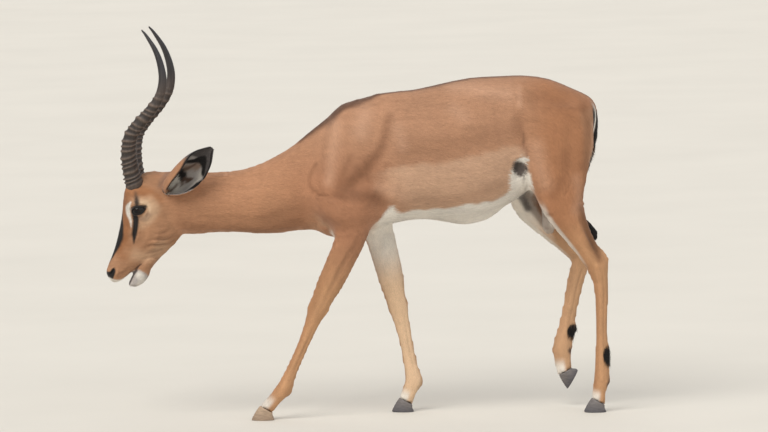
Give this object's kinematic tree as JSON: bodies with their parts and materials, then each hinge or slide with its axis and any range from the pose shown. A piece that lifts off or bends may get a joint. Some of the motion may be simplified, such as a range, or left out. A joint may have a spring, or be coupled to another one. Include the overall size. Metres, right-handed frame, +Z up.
{
  "type": "standing impala ram",
  "caption": "Life-size model of a walking impala ram with its head low, its lyre horns up and one hind hoof lifted.",
  "frame": {"origin": "middle of the footprint of the bounding box, on the floor", "axes": "+Z up, the ram faces -X, its left side is -Y"},
  "size_m": [1.379, 0.3392, 1.0814],
  "materials": {
    "hide": "short smooth coat, red-brown above, tan on the flanks, white below",
    "horn": "ringed dark horn with smooth tips",
    "eye": "wet dark brown eye",
    "hoof": "worn grey-black hoof"
  },
  "bodies": {
    "root": {"ear_left": "hide", "ear_right": "hide", "eye_left": "eye", "eye_right": "eye", "foreleg_left_cannon": "hide", "foreleg_left_forearm": "hide", "foreleg_left_inner_claw": "hoof", "foreleg_left_outer_claw": "hoof", "foreleg_left_pastern": "hide", "foreleg_right_cannon": "hide", "foreleg_right_forearm": "hide", "foreleg_right_inner_claw": "hoof", "foreleg_right_outer_claw": "hoof", "foreleg_right_pastern": "hide", "head": "hide", "hindleg_left_cannon": "hide", "hindleg_left_gaskin": "hide", "hindleg_left_inner_claw": "hoof", "hindleg_left_outer_claw": "hoof", "hindleg_left_pastern": "hide", "hindleg_right_cannon": "hide", "hindleg_right_gaskin": "hide", "hindleg_right_inner_claw": "hoof", "hindleg_right_outer_claw": "hoof", "hindleg_right_pastern": "hide", "horn_left": "horn", "horn_right": "horn", "lower_jaw": "hide", "neck": "hide", "scrotum": "hide", "tail": "hide", "torso": "hide"}
  },
  "joints": []
}
